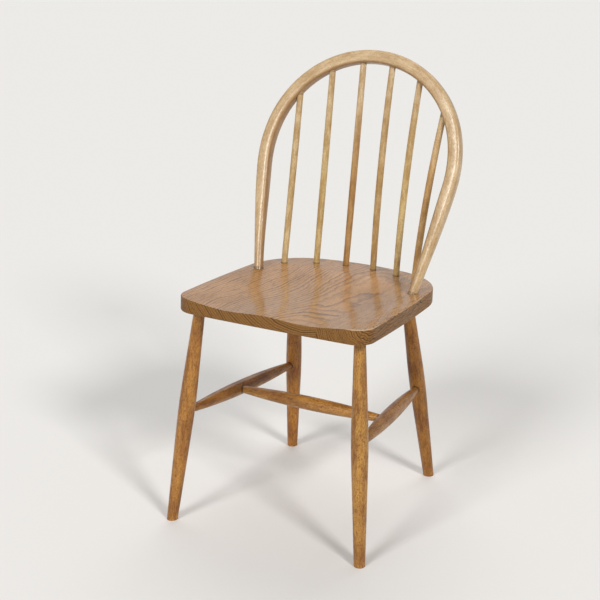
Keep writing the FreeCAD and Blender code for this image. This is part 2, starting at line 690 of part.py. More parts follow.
def makeBow():
    body = newBody("bow", Placement(bowBase, Rotation()))
    below = -2 * size["seatThickness"]
    distances = [below, below / 2]
    distances += [bowHalfLength * index / STATIONS_PER_HALF for index in range(STATIONS_PER_HALF)]
    stations = [(distance, 1) for distance in distances] + [(bowHalfLength, 1)]
    stations += [(distance, -1) for distance in reversed(distances)]
    loft(body, "AdditiveLoft", [bowStation(body, f"station_{index}", distance, side)
                                for index, (distance, side) in enumerate(stations, start=1)])
    doc.recompute()
    for sideName, (point, direction) in BOW_FEET.items():
        trimBelow(body, f"flush_{sideName}", Placement(meetPlane(seatUnderside, point, direction), seatTilt))
        kerf = wedgeShape(body, "Subtractive", f"kerf_{sideName}", size["glueLine"])
        kerf.Placement = body.Placement.inverse().multiply(wedgePlace(sideName))
    for name, (base, top) in STICK_AXES.items():
        point, direction = stickPath(name, (top - base).Length)
        start = point + direction * (size["stickTopTenon"] + size["glueLine"])
        bore(body, f"socket_{name}", frameAlong(start, direction * -1, ACROSS),
             "Sizes.stickEnd / 2 + Sizes.glueLine", "2 * Sizes.stickTopTenon")


def makeWedge(sideName):
    body = newBody(f"bow_wedge_{sideName}", wedgePlace(sideName))
    wedgeShape(body, "Additive", "wedge", 0.0)
    trimBelow(body, "flush", Placement(body.Placement.Base, seatTilt))


# Sticks: slender rods, a little thicker in the middle

def makeStick(label):
    base, top = STICK_AXES[label]
    length = (top - base).Length
    body = newBody(label, frameAlong(base, top - base, ACROSS))
    end = "Sizes.stickEnd / 2"
    nearEnd = f"{end} + Sizes.stickSwell * (Sizes.stickDiameter - Sizes.stickEnd) / 2"
    swellPlace = size["stickSwellPlace"]
    stations = [
        (-size["stickTenon"], end),
        (0.0, end),
        (swellPlace * length, nearEnd),
        (length / 2, "Sizes.stickDiameter / 2"),
        ((1 - swellPlace) * length, nearEnd),
        (length, end),
        (length + size["stickTopTenon"], end),
    ]
    sections = []
    for index, (distance, radius) in enumerate(stations, start=1):
        point, direction = stickPath(label, distance)
        sketch = stationSketch(body, f"station_{index}", frameAlong(point, direction, ACROSS))
        sketch.addGeometry(Part.Circle(Vector(0, 0, 0), Vector(0, 0, 1), size["stickEnd"] / 2))
        constrain(sketch, ("Coincident", 0, 3, -1, 1))
        dimension(sketch, radius, "Radius", 0, size["stickEnd"] / 2)
        sections.append(sketch)
    loft(body, "AdditiveLoft", sections)


# The chair

for sideName in SIDE:
    makeSeatBoard(f"seat_board_{sideName}", sideName)
for legName in LEG_AXES:
    makeLeg(legName)
makeStretchers()
makeBow()
for sideName in SIDE:
    makeWedge(sideName)
for stickName in STICK_AXES:
    makeStick(stickName)
doc.recompute()


# Checks, then one file for each piece

bodies = [item for item in doc.Objects if item.TypeId == "PartDesign::Body"]
for item in doc.Objects:
    if "Invalid" in item.State or "Error" in item.State:
        raise RuntimeError(f"{item.Name} failed: {item.State}")
for body in bodies:
    shape = body.Shape
    if shape.isNull() or not shape.isValid() or len(shape.Solids) != 1:
        raise RuntimeError(f"{body.Label} is not one valid solid")

os.makedirs("parts", exist_ok=True)
for body in bodies:
    body.Shape.exportStep(f"parts/{body.Label}.step")
    box = body.Shape.BoundBox
    print(f"{body.Label}: volume {body.Shape.Volume:.0f}, x {box.XMin:.1f} to {box.XMax:.1f}, "
          f"y {box.YMin:.1f} to {box.YMax:.1f}, z {box.ZMin:.1f} to {box.ZMax:.1f}")
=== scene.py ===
import math

import bmesh
import bpy
from mathutils import Matrix, Vector


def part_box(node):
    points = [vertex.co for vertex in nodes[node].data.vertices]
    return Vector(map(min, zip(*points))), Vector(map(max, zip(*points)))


# A hoop-back kitchen windsor chair: elm seat, pale beech back, honey-brown beech legs.
# The front faces -Y. All lengths are metres.


# Camera

camera = {
    "place": (1.2430, -2.4333, 1.3401),
    "turn": 27.9,          # degrees that it is swung round to the right of the chair
    "down": 19.2,          # degrees that it looks down
    "lens": 94.7,
    "sensor": 36.0,
    "farthest": 60.0,
}


def makeCamera():
    data = bpy.data.cameras.new("camera")
    data.lens = camera["lens"]
    data.sensor_width = camera["sensor"]
    data.sensor_fit = "HORIZONTAL"
    data.clip_end = camera["farthest"]
    data.dof.use_dof = False
    made = bpy.data.objects.new("camera", data)
    made.location = camera["place"]
    made.rotation_euler = (math.radians(90 - camera["down"]), 0, math.radians(camera["turn"]))
    bpy.context.scene.collection.objects.link(made)
    bpy.context.scene.camera = made


makeCamera()
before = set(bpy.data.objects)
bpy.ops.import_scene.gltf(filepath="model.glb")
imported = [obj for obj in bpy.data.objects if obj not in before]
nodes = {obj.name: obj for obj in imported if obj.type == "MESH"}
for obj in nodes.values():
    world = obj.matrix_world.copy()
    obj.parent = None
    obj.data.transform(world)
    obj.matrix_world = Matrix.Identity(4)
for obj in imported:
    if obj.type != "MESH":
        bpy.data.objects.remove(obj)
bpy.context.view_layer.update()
print("camera and frame ready:", len(nodes), "pieces")


# Small helpers for node trees

def fill(tree, socket, value):
    if isinstance(value, bpy.types.NodeSocket):
        tree.links.new(value, socket)
    elif socket.type == "RGBA" and len(value) == 3:
        socket.default_value = (*value, 1.0)
    else:
        socket.default_value = value


def place(tree, kind, inputs=None, **settings):
    made = tree.nodes.new(kind)
    for name, value in settings.items():
        setattr(made, name, value)
    for name, value in (inputs or {}).items():
        fill(tree, made.inputs[name], value)
    return made


def sums(tree, operation, *values):
    return place(tree, "ShaderNodeMath", dict(enumerate(values)), operation=operation).outputs[0]


def product(tree, first, second):
    return sums(tree, "MULTIPLY", first, second)


def vectorSums(tree, operation, *values, result="Vector"):
    made = place(tree, "ShaderNodeVectorMath", dict(enumerate(values)), operation=operation)
    return made.outputs[result]


def split(tree, vector):
    return place(tree, "ShaderNodeSeparateXYZ", {"Vector": vector}).outputs


def spread(tree, value, low, high, newLow=0.0, newHigh=1.0):
    made = place(tree, "ShaderNodeMapRange", {"Value": value, "From Min": low, "From Max": high,
                                              "To Min": newLow, "To Max": newHigh})
    made.interpolation_type = "SMOOTHSTEP"
    return made.outputs[0]


def blendColours(tree, share, first, second):
    made = place(tree, "ShaderNodeMix", {"Factor": share}, data_type="RGBA")
    fill(tree, made.inputs[6], first)
    fill(tree, made.inputs[7], second)
    return made.outputs[2]


def noise(tree, vector, scale=1.0, detail=2.0, roughness=0.5):
    return place(tree, "ShaderNodeTexNoise", {"Vector": vector, "Scale": scale, "Detail": detail,
                                              "Roughness": roughness}).outputs["Fac"]


# Noise as fine along X, Y and Z as a layer says, and where in its range it shows.
def grainLayer(tree, vector, layer):
    fine = vectorSums(tree, "MULTIPLY", vector, layer["fineness"])
    raw = noise(tree, fine, detail=layer["detail"], roughness=layer["roughness"])
    return raw, spread(tree, raw, *layer["range"])


# Inputs and outputs are given as names with their kinds of socket.
def startGroup(name, inputs, outputs):
    tree = bpy.data.node_groups.new(name, "ShaderNodeTree")
    for end, sockets in (("INPUT", inputs), ("OUTPUT", outputs)):
        for label, kind in sockets.items():
            tree.interface.new_socket(name=label, in_out=end, socket_type=f"NodeSocket{kind}")
    return tree, tree.nodes.new("NodeGroupInput").outputs, tree.nodes.new("NodeGroupOutput").inputs


def useGroup(tree, group, inputs):
    made = tree.nodes.new("ShaderNodeGroup")
    made.node_tree = group
    for name, value in inputs.items():
        fill(tree, made.inputs[name], value)
    return made.outputs


# Effects that several finishes share

dirtAndShadeShape = {
    "raggedScale": 260.0,
    "raggedDetail": 3.0,
    "raggedLeast": 0.5,        # least share of the reach
    "fade": (0.3, 1.0),        # shares of the reach between which the dirt and painted shade end
    "rodMargin": 0.02,         # how far from the rod's surface a collar still counts
}


# Dirt and painted shade where a rod leaves a surface, from Point along Direction.
# Ring darkens that surface round the rod, Collar the rod next to the surface: both dirt and painted
# shade.
def makeDirtAndShadeGroup():
    tree, given, out = startGroup("jointDirtAndShade", {
        "Position": "Vector", "Point": "Vector", "Direction": "Vector",
        "Radius": "Float", "Reach": "Float",
    }, {"Ring": "Float", "Collar": "Float"})
    away = vectorSums(tree, "SUBTRACT", given["Position"], given["Point"])
    ahead = vectorSums(tree, "DOT_PRODUCT", away, given["Direction"], result="Value")
    crossed = vectorSums(tree, "CROSS_PRODUCT", away, given["Direction"])
    aside = vectorSums(tree, "LENGTH", crossed, result="Value")
    ragged = noise(tree, given["Position"], dirtAndShadeShape["raggedScale"], dirtAndShadeShape["raggedDetail"])
    reach = product(tree, given["Reach"], sums(tree, "ADD", ragged, dirtAndShadeShape["raggedLeast"]))

    gap = sums(tree, "DIVIDE", sums(tree, "SUBTRACT", aside, given["Radius"]), reach)
    ring = spread(tree, gap, *dirtAndShadeShape["fade"], 1.0, 0.0)
    inFront = sums(tree, "GREATER_THAN", ahead, 0.0)
    tree.links.new(product(tree, ring, inFront), out["Ring"])

    collar = spread(tree, sums(tree, "DIVIDE", ahead, reach), *dirtAndShadeShape["fade"], 1.0, 0.0)
    onRod = sums(tree, "LESS_THAN", aside, sums(tree, "ADD", given["Radius"], dirtAndShadeShape["rodMargin"]))
    tree.links.new(product(tree, collar, onRod), out["Collar"])
    return tree


# Share is how much a layer counts in the tone or in the flecks.
beech = {
    "layers": {
        "streaks": {"fineness": (120.0, 120.0, 6.0), "detail": 3.0, "roughness": 0.55,
                    "range": (0.3, 0.7), "share": 0.3},
        "clouds": {"fineness": (55.0, 55.0, 24.0), "detail": 3.0, "roughness": 0.6,
                   "range": (0.36, 0.66), "share": 0.6},
        "shortStreaks": {"fineness": (330.0, 330.0, 60.0), "detail": 2.0, "roughness": 0.6,
                         "range": (0.38, 0.68), "share": 0.3},
        "wideFlecks": {"fineness": (430.0, 430.0, 190.0), "detail": 1.0, "roughness": 0.5,
                       "range": (0.60, 0.72), "share": 0.75},
        "fineFlecks": {"fineness": (900.0, 900.0, 260.0), "detail": 1.0, "roughness": 0.5,
                       "range": (0.54, 0.66), "share": 0.8},
        "pores": {"fineness": (2600.0, 2600.0, 520.0), "detail": 1.0, "roughness": 0.5,
                  "range": (0.58, 0.75), "share": 0.35},
    },
    "streakRelief": 0.5,
    "glossRange": (0.3, 0.7),
    "gloss": (0.34, 0.48),     # roughness between the brightest and the dullest places
}


# Beech with its grain along Z: soft streaks, blotches and many short dark flecks.
def makeBeechGroup():
    tree, given, out = startGroup("beechFigure", {
        "Vector": "Vector", "Pale": "Color", "Deep": "Color", "Fleck": "Color",
        "Fleck Amount": "Float", "Blotches": "Float",
    }, {"Color": "Color", "Height": "Float", "Roughness": "Float"})
    raw, shown = {}, {}
    for name, layer in beech["layers"].items():
        raw[name], seen = grainLayer(tree, given["Vector"], layer)
        if name == "clouds":
            seen = product(tree, seen, given["Blotches"])
        shown[name] = product(tree, seen, layer["share"])

    tone = sums(tree, "ADD", shown["streaks"], shown["clouds"])
    tone = sums(tree, "ADD", tone, shown["shortStreaks"])
    ground = blendColours(tree, sums(tree, "MINIMUM", tone, 1.0), given["Pale"], given["Deep"])
    shade = sums(tree, "MAXIMUM", shown["wideFlecks"], shown["fineFlecks"])
    shade = sums(tree, "MAXIMUM", shade, shown["pores"])
    shade = product(tree, shade, given["Fleck Amount"])
    height = product(tree, raw["shortStreaks"], beech["streakRelief"])
    roughness = spread(tree, raw["clouds"], *beech["glossRange"], *beech["gloss"])
    tree.links.new(blendColours(tree, shade, ground, given["Fleck"]), out["Color"])
    tree.links.new(sums(tree, "SUBTRACT", height, shade), out["Height"])
    tree.links.new(roughness, out["Roughness"])
    return tree


elm = {
    "driftFineness": (9.0, 4.0, 9.0),
    "driftAcross": 0.05,
    "driftDeep": 0.03,
    "curlFineness": (50.0, 70.0, 50.0),
    "lateGrows": (0.35, 0.9),      # shares of a year ring between which its late wood darkens
    "lateEnds": (1.0, 0.93),
    "lateStrength": (0.4, 1.0),    # of the weakest and of the strongest year
    "waveScale": 20.0,
    "waveDetail": 1.0,
    "layers": {
        "finePores": {"fineness": (800.0, 130.0, 800.0), "detail": 2.0, "roughness": 0.6,
                      "range": (0.53, 0.68)},
        "longPores": {"fineness": (430.0, 48.0, 430.0), "detail": 2.0, "roughness": 0.6,
                      "range": (0.52, 0.64)},
        "clouds": {"fineness": (16.0, 9.0, 16.0), "detail": 3.0, "roughness": 0.55,
                   "range": (0.3, 0.7)},
    },
}


# A flat-sawn elm board with its grain along Y: year rings round a pith above the board.
def makeElmGroup():
    tree, given, out = startGroup("elmFigure", {
        "Vector": "Vector", "Across": "Float", "Pith Height": "Float", "Pith Slope": "Float",
        "Ring": "Float", "Curl": "Float",
    }, {"Band": "Float", "Pores": "Float", "Clouds": "Float", "Waves": "Float"})
    vector = given["Vector"]
    parts = split(tree, vector)
    slow = vectorSums(tree, "MULTIPLY", vector, elm["driftFineness"])
    slow = place(tree, "ShaderNodeTexNoise", {"Vector": slow, "Scale": 1.0}).outputs["Color"]
    drift = split(tree, vectorSums(tree, "SUBTRACT", slow, (0.5, 0.5, 0.5)))
    side = sums(tree, "ADD", sums(tree, "SUBTRACT", parts["X"], given["Across"]),
                product(tree, drift["X"], elm["driftAcross"]))
    pith = sums(tree, "MULTIPLY_ADD", parts["Y"], given["Pith Slope"], given["Pith Height"])
    depth = sums(tree, "ADD", sums(tree, "SUBTRACT", pith, parts["Z"]),
                 product(tree, drift["Y"], elm["driftDeep"]))
    radius = sums(tree, "MULTIPLY_ADD", side, side, product(tree, depth, depth))
    radius = sums(tree, "SQRT", radius)
    curl = noise(tree, vectorSums(tree, "MULTIPLY", vector, elm["curlFineness"]))
    curl = sums(tree, "SUBTRACT", curl, 0.5)
    radius = sums(tree, "MULTIPLY_ADD", curl, given["Curl"], radius)

    years = sums(tree, "DIVIDE", radius, given["Ring"])
    season = sums(tree, "FRACT", years)
    late = product(tree, spread(tree, season, *elm["lateGrows"]),
                   spread(tree, season, *elm["lateEnds"]))
    strength = place(tree, "ShaderNodeTexWhiteNoise", {"W": sums(tree, "FLOOR", years)},
                     noise_dimensions="1D").outputs["Value"]
    strength = spread(tree, strength, 0.0, 1.0, *elm["lateStrength"])
    tree.links.new(product(tree, late, strength), out["Band"])

    shown = {name: grainLayer(tree, vector, layer)[1] for name, layer in elm["layers"].items()}
    pores = sums(tree, "MAXIMUM", shown["finePores"], shown["longPores"])
    tree.links.new(pores, out["Pores"])
    tree.links.new(shown["clouds"], out["Clouds"])
    tree.links.new(noise(tree, vector, elm["waveScale"], elm["waveDetail"]), out["Waves"])
    return tree


jointDirtAndShade = makeDirtAndShadeGroup()
beechFigure = makeBeechGroup()
elmFigure = makeElmGroup()
print("shared effects ready")


# Finishes

lacquer = {
    "ior": 1.48,
    "bumpStrength": 0.5,
}


def startFinish(name, look):
    material = bpy.data.materials.new(name)
    material.use_nodes = True
    tree = material.node_tree
    shader = tree.nodes["Principled BSDF"]
    shader.inputs["IOR"].default_value = lacquer["ior"]
    shader.inputs["Specular IOR Level"].default_value = look["shine"]
    shader.inputs["Coat Weight"].default_value = look["coat"]
    shader.inputs["Coat Roughness"].default_value = look["coatRoughness"]
    position = tree.nodes.new("ShaderNodeTexCoord").outputs["Object"]
    return material, tree, shader, position


def surfaceDirection(tree):
    return tree.nodes["Texture Coordinate"].outputs["Normal"]


def addBump(tree, shader, height, distance):
    bump = place(tree, "ShaderNodeBump", {"Height": height, "Strength": lacquer["bumpStrength"],
                                          "Distance": distance})
    tree.links.new(bump.outputs["Normal"], shader.inputs["Normal"])


# The strongest of the dirt and painted shade round some joints.
# Each is given as Ring or Collar, point, direction, radius and reach.
def dirtAndShadeAt(tree, position, joints):
    mask = None
    for kind, point, direction, radius, reach in joints:
        one = useGroup(tree, jointDirtAndShade, {"Position": position, "Point": point,
                                         "Direction": direction, "Radius": radius,
                                         "Reach": reach})[kind]
        mask = one if mask is None else sums(tree, "MAXIMUM", mask, one)
    return mask


def heading(start, end):
    return tuple((Vector(end) - Vector(start)).normalized())


def moved(start, end, distance):
    return tuple(Vector(start) + (Vector(end) - Vector(start)).normalized() * distance)


# Coordinates with Z along the piece from low to high, shifted so that no two pieces match.
def alongAxis(tree, position, low, high, shift):
    turn = (Vector(high) - Vector(low)).to_track_quat("Z", "Y").to_matrix().transposed()
    start = turn @ -Vector(low) + Vector((shift, 0.7 * shift, 3 * shift))
    return place(tree, "ShaderNodeMapping", {"Vector": position, "Rotation": turn.to_euler(),
                                             "Location": start}).outputs["Vector"]


def finishBeech(tree, shader, position, coordinates, look, joints=None, pale=None, deep=None):
    figure = useGroup(tree, beechFigure, {
        "Vector": coordinates, "Pale": pale or look["pale"], "Deep": deep or look["deep"],
        "Fleck": look["fleck"], "Fleck Amount": look["fleckAmount"], "Blotches": look["blotches"]})
    colour = figure["Color"]
    if joints:
        # dirt and painted shade round the joints
        mask = product(tree, dirtAndShadeAt(tree, position, joints), look["dirtAndShadeAmount"])
        colour = blendColours(tree, mask, colour, look["dirtAndShade"])
    tree.links.new(colour, shader.inputs["Base Color"])
    tree.links.new(figure["Roughness"], shader.inputs["Roughness"])
    addBump(tree, shader, figure["Height"], look["relief"])


def toned(look, tone):
    made = dict(look)
    for part in ("pale", "deep"):
        made[part] = tuple(value * factor for value, factor in zip(look[part], tone))
    return made


def dress(node, material):
    nodes[node].data.materials.clear()
    nodes[node].data.materials.append(material)


# Legs and stretchers

base = {
    "pale": (0.50, 0.245, 0.050),
    "deep": (0.22, 0.080, 0.014),
    "fleck": (0.075, 0.024, 0.006),
    "fleckAmount": 0.8,
    "blotches": 0.9,
    # colour of the joint dirt, and of the painted shade under the seat at the legs' tops
    "dirtAndShade": (0.020, 0.010, 0.005),
    "dirtAndShadeAmount": 0.75,
    "relief": 0.0003,
    "shine": 0.3,
    "coat": 0.28,
    "coatRoughness": 0.17,
    "shift": 0.37,             # of the figure from piece to piece
    "legRadius": 0.0152,
    "sideEndRadius": 0.0065,
    "sideRadius": 0.0134,
    "crossEndRadius": 0.0070,
    "reach": {                 # how far the dirt and painted shade of a joint spread
        "shadeUnderSeat": 0.0055,
        "sideOnLeg": 0.0018,
        "legOnSide": 0.0032,
        "crossOnSide": 0.0026,
        "sideOnCross": 0.0030,
    },
    "axes": {
        "leg_front_left": ((-0.1919, -0.2272, 0.0), (-0.1586, -0.1676, 0.4007)),
        "leg_back_left": ((-0.1512, 0.1667, 0.0), (-0.1175, 0.1170, 0.3813)),
        "leg_front_right": ((0.1919, -0.2272, 0.0), (0.1586, -0.1676, 0.4007)),
        "leg_back_right": ((0.1512, 0.1667, 0.0), (0.1175, 0.1170, 0.3813)),
        "side_stretcher_left": ((-0.1747, -0.1964, 0.2070), (-0.1345, 0.1420, 0.1895)),
        "side_stretcher_right": ((0.1741, -0.1953, 0.2145), (0.1345, 0.1420, 0.1895)),
        "cross_stretcher": ((-0.1562, -0.0407, 0.1990), (0.1576, -0.0553, 0.2041)),
    },
    "tones": {
        "leg_front_left": (0.92, 0.88, 0.85),
        "leg_back_left": (0.98, 0.86, 0.60),
        "leg_front_right": (1.0, 1.06, 1.12),
        "leg_back_right": (0.74, 0.66, 0.45),
        "side_stretcher_left": (0.78, 0.74, 0.75),
        "side_stretcher_right": (0.80, 0.78, 0.85),
        "cross_stretcher": (0.98, 1.0, 1.05),
    },
}


# Where dirt and painted shade gather on a piece of the base; the collar at a leg's top is painted
# shadow under the seat.
def baseJoints(name):
    axes, reach = base["axes"], base["reach"]
    low, high = axes[name]
    side = name.split("_")[-1]
    if name.startswith("leg"):
        near, far = axes["side_stretcher_" + side]
        if "back" in name:
            near, far = far, near
        return [("Ring", near, heading(near, far), base["sideEndRadius"], reach["sideOnLeg"]),
                # painted shadow on the top of the leg, under the seat
                ("Collar", high, heading(high, low), 0.0, reach["shadeUnderSeat"])]
    if name.startswith("side"):
        cross = axes["cross_stretcher"]
        near, far = cross if side == "left" else cross[::-1]
        joints = [("Ring", near, heading(near, far), base["crossEndRadius"], reach["crossOnSide"])]
        for end in ("front", "back"):
            foot, top = axes[f"leg_{end}_{side}"]
            joints.append(("Ring", foot, heading(foot, top), base["legRadius"], reach["legOnSide"]))
        return joints
    joints = []
    for side in ("left", "right"):
        front, rear = axes["side_stretcher_" + side]
        joints.append(("Ring", front, heading(front, rear), base["sideRadius"], reach["sideOnCross"]))
    return joints


def finishBase():
    for number, (name, (low, high)) in enumerate(base["axes"].items(), start=1):
        material, tree, shader, position = startFinish("honeyBeech_" + name, base)
        coordinates = alongAxis(tree, position, low, high, base["shift"] * number)
        look = toned(base, base["tones"][name])
        finishBeech(tree, shader, position, coordinates, look, baseJoints(name))
        dress(name, material)


finishBase()
print("legs and stretchers finished")


# Bow and sticks

back = {
    "pale": (0.60, 0.45, 0.265),
    "deep": (0.36, 0.215, 0.085),
    "fleck": (0.25, 0.145, 0.065),
    "fleckAmount": 0.6,
    "blotches": 0.7,
    # colour of the joint dirt and painted shade
    "dirtAndShade": (0.10, 0.045, 0.016),
    "dirtAndShadeAmount": 0.5,
    "relief": 0.0002,
    "shine": 0.3,
    "coat": 0.5,
    "coatRoughness": 0.2,
    "shift": 0.53,             # of the figure from stick to stick
    "sticks": {
        "stick_1": ((-0.1360, 0.1067, 0.4100), (-0.1441, 0.1884, 0.7217)),
        "stick_2": ((-0.0842, 0.1412, 0.4077), (-0.0860, 0.2093, 0.7679)),
        "stick_3": ((-0.0289, 0.1572, 0.4066), (-0.0258, 0.2176, 0.7862)),
        "stick_4": ((0.0289, 0.1572, 0.4066), (0.0342, 0.2171, 0.7849)),
        "stick_5": ((0.0842, 0.1412, 0.4077), (0.0944, 0.2073, 0.7634)),
        "stick_6": ((0.1360, 0.1067, 0.4100), (0.1525, 0.1832, 0.7103)),
    },
    "stickRadius": 0.0059,
    "stickCoat": 0.2,
    "stickBlotches": 1.0,
    "stickTonesAndLight": {
        "stick_1": (1.08, 1.14, 1.10),
        "stick_2": (1.07, 1.12, 0.95),
        "stick_3": (0.76, 0.60, 0.38),
        "stick_4": (0.92, 0.87, 0.70),
        "stick_5": (1.07, 1.10, 0.90),
        # stick_6 is lightened to make up for the bow's shadow on it: painted light
        "stick_6": (1.02, 0.90, 0.68),
    },
    "stickTopTone": (1.10, 1.17, 1.30),
    "paleFrom": (0.56, 0.78),  # heights between which the sticks grow paler
    "innerShadeDirtPale": (0.40, 0.245, 0.115),     # the bow's inner face, darkened with painted shade and dirt
    "innerShadeDirtDeep": (0.27, 0.145, 0.055),
    "innerShadeDirtFrom": (-0.25, -0.8),            # how squarely a place faces inwards, where the painted shade and dirt come in
    "reach": {                 # how far the dirt and painted shade of a joint spread
        "stickEnd": 0.0018,
        "bowFoot": 0.0010,
        "stickOnBow": 0.0020,
    },
    "ringInset": 0.006,        # ring's point past the stick's top
    "bowFeet": ((-0.1600, 0.0488, 0.4140), (0.1600, 0.0488, 0.4140)),
    "bowFootRadius": 0.0088,
    "bowBase": (0.0, 0.0488, 0.4140),
    "bowLean": 24.4,           # degrees
    "bowSplay": 10.6,          # degrees
    "crownRise": 0.2315,       # middle of the crown's circle above the bow's base, up its leaning plane
    "crownRadius": 0.1915,
}


def finishSticks():
    look = {**back, "coat": back["stickCoat"], "blotches": back["stickBlotches"]}
    topLook = toned(back, back["stickTopTone"])
    reach = back["reach"]["stickEnd"]
    for number, (name, (low, high)) in enumerate(back["sticks"].items(), start=1):
        material, tree, shader, position = startFinish("paleBeech_" + name, look)
        coordinates = alongAxis(tree, position, low, high, back["shift"] * number)
        joints = [("Collar", low, heading(low, high), 0.0, reach),
                  ("Collar", high, heading(high, low), 0.0, reach)]
        lowLook = toned(back, back["stickTonesAndLight"][name])
        up = spread(tree, split(tree, position)["Z"], *back["paleFrom"])
        pale, deep = (blendColours(tree, up, lowLook[part], topLook[part])
                      for part in ("pale", "deep"))
        finishBeech(tree, shader, position, coordinates, look, joints, pale, deep)
        dress(name, material)


# The parts of a vector after the bow's lean is turned upright.
def uprighted(tree, vector, centre):
    return split(tree, place(tree, "ShaderNodeVectorRotate", {
        "Vector": vector, "Center": centre, "Axis": (1, 0, 0),
        "Angle": math.radians(back["bowLean"])}, rotation_type="AXIS_ANGLE").outputs[0])


# Coordinates that follow the bent rod, with Z the distance from the top of the crown,
# and how squarely the surface faces the inside of the bow, which is darkened with painted shade and
# dirt.
def bowCoordinates(tree, position):
    parts = uprighted(tree, position, back["bowBase"])
    rise = sums(tree, "SUBTRACT", parts["Z"], back["bowBase"][2] + back["crownRise"])
    above = sums(tree, "MAXIMUM", rise, 0.0)
    below = sums(tree, "MINIMUM", rise, 0.0)
    away = sums(tree, "MULTIPLY_ADD", parts["X"], parts["X"], product(tree, above, above))
    away = sums(tree, "SQRT", away)
    turned = product(tree, sums(tree, "ARCTAN2", parts["X"], above), back["crownRadius"])
    straight = product(tree, sums(tree, "SIGN", parts["X"]), below)
    far = sums(tree, "SUBTRACT", turned, straight)
    along = place(tree, "ShaderNodeCombineXYZ", {"X": away, "Y": parts["Y"], "Z": far}).outputs[0]

    facing = uprighted(tree, surfaceDirection(tree), (0, 0, 0))
    outwards = sums(tree, "MULTIPLY_ADD", facing["X"], parts["X"],
                    product(tree, facing["Z"], above))
    innerShadeDirt = spread(tree, sums(tree, "DIVIDE", outwards, away), *back["innerShadeDirtFrom"])
    return along, innerShadeDirt


def bowFootDirection(foot):
    lean, splay = math.radians(back["bowLean"]), math.radians(back["bowSplay"])
    outwards = math.copysign(math.sin(splay), foot[0])
    return outwards, math.cos(splay) * math.sin(lean), math.cos(splay) * math.cos(lean)


def finishBow():
    material, tree, shader, position = startFinish("paleBeech_bow", back)
    reach = back["reach"]
    joints = [("Collar", foot, bowFootDirection(foot), 0.0, reach["bowFoot"])
              for foot in back["bowFeet"]]
    joints += [("Ring", moved(high, low, -back["ringInset"]), heading(high, low),
                back["stickRadius"], reach["stickOnBow"])
               for low, high in back["sticks"].values()]
    coordinates, innerShadeDirt = bowCoordinates(tree, position)
    # the inner face gets painted shade and dirt
    pale = blendColours(tree, innerShadeDirt, back["pale"], back["innerShadeDirtPale"])
    deep = blendColours(tree, innerShadeDirt, back["deep"], back["innerShadeDirtDeep"])
    finishBeech(tree, shader, position, coordinates, back, joints, pale, deep)
    dress("bow", material)


finishSticks()
finishBow()
print("back finished")


# Seat

seat = {
    "slope": 3.9,              # degrees that it falls towards the back
    "front": (0.0, -0.2203, 0.4323),
    "pale": (0.50, 0.245, 0.074),
    "deep": (0.125, 0.048, 0.012),
    "bandTone": 0.75,
    "cloudTone": 0.25,
    "endPale": (0.255, 0.120, 0.028),
    "endDeep": (0.018, 0.007, 0.002),
    "endFrom": (0.5, 0.85),    # how level a face is where end grain gives way to the top
    "pore": (0.085, 0.032, 0.008),
    "bandPores": 0.4,
    "endPores": 0.2,
    "mostPores": 0.95,
    # pale wear and painted highlight on the rounded top edge
    "paleWearAndHighlight": (0.60, 0.47, 0.34),
    "edgeBegins": (0.35, 0.6), # how level a place on the rounded top edge is
    "edgeEnds": (0.95, 0.8),
    "patchScale": 30.0,
    "patchDetail": 3.0,
    "patchRange": (0.42, 0.62),
    "wearAndHighlightAmount": 0.35,
    "cornerX": (0.07, 0.13),   # where the front right corner is rubbed pale, with a painted highlight
    "cornerY": (-0.14, -0.19),
    "cornerWearAndHighlightAmount": 0.6,
    # colour of the dirt and painted shade round the bow's feet and the sticks
    "dirtAndShade": (0.030, 0.014, 0.007),
    "dirtAndShadeAmount": 0.85,
    "gloss": (0.42, 0.55),     # roughness between the brightest and the dullest places
    "shine": 0.2,
    "coat": 1.0,
    "edgeCoat": 0.1,
    "coatFrom": (0.6, 0.95),   # how level a face is where the coat comes in
    "coatRoughness": 0.17,
    "relief": 0.0004,
    "bandRelief": -0.4,
    "poreRelief": 0.6,
    "ringInset": 0.01,         # ring's point below the foot of a rod
    "reach": {"bowFoot": 0.0026, "stick": 0.0022},
    "joint": 0.103,            # where the two boards meet
    "boards": {
        "seat_board_left": {"pores": 0.38, "figure": {
            "Across": 0.082, "Pith Height": 0.165, "Pith Slope": 0.09, "Ring": 0.0042,
            "Curl": 0.003}},
        "seat_board_right": {"pores": 0.52, "figure": {
            "Across": 0.24, "Pith Height": 0.04, "Pith Slope": 0.05, "Ring": 0.0040,
            "Curl": 0.012}},
    },
}


# Where dirt and painted shade gather on one of the boards.
def seatJoints(isLeft):
    inset, reach = seat["ringInset"], seat["reach"]
    joints = []
    for foot in back["bowFeet"]:
        direction = bowFootDirection(foot)
        point = tuple(Vector(foot) - Vector(direction) * inset)
        joints.append((foot[0], ("Ring", point, direction, back["bowFootRadius"],
                                 reach["bowFoot"])))
    for low, high in back["sticks"].values():
        joints.append((low[0], ("Ring", moved(low, high, -inset), heading(low, high),
                                back["stickRadius"], reach["stick"])))
    return [joint for x, joint in joints if (x < seat["joint"]) == isLeft]


# Coordinates with X along the front edge and Z square to the seat.
def seatCoordinates(tree, position):
    turn = Matrix.Rotation(math.radians(seat["slope"]), 3, "X")
    start = turn @ -Vector(seat["front"])
    return place(tree, "ShaderNodeMapping", {"Vector": position, "Rotation": turn.to_euler(),
                                             "Location": start}).outputs["Vector"]


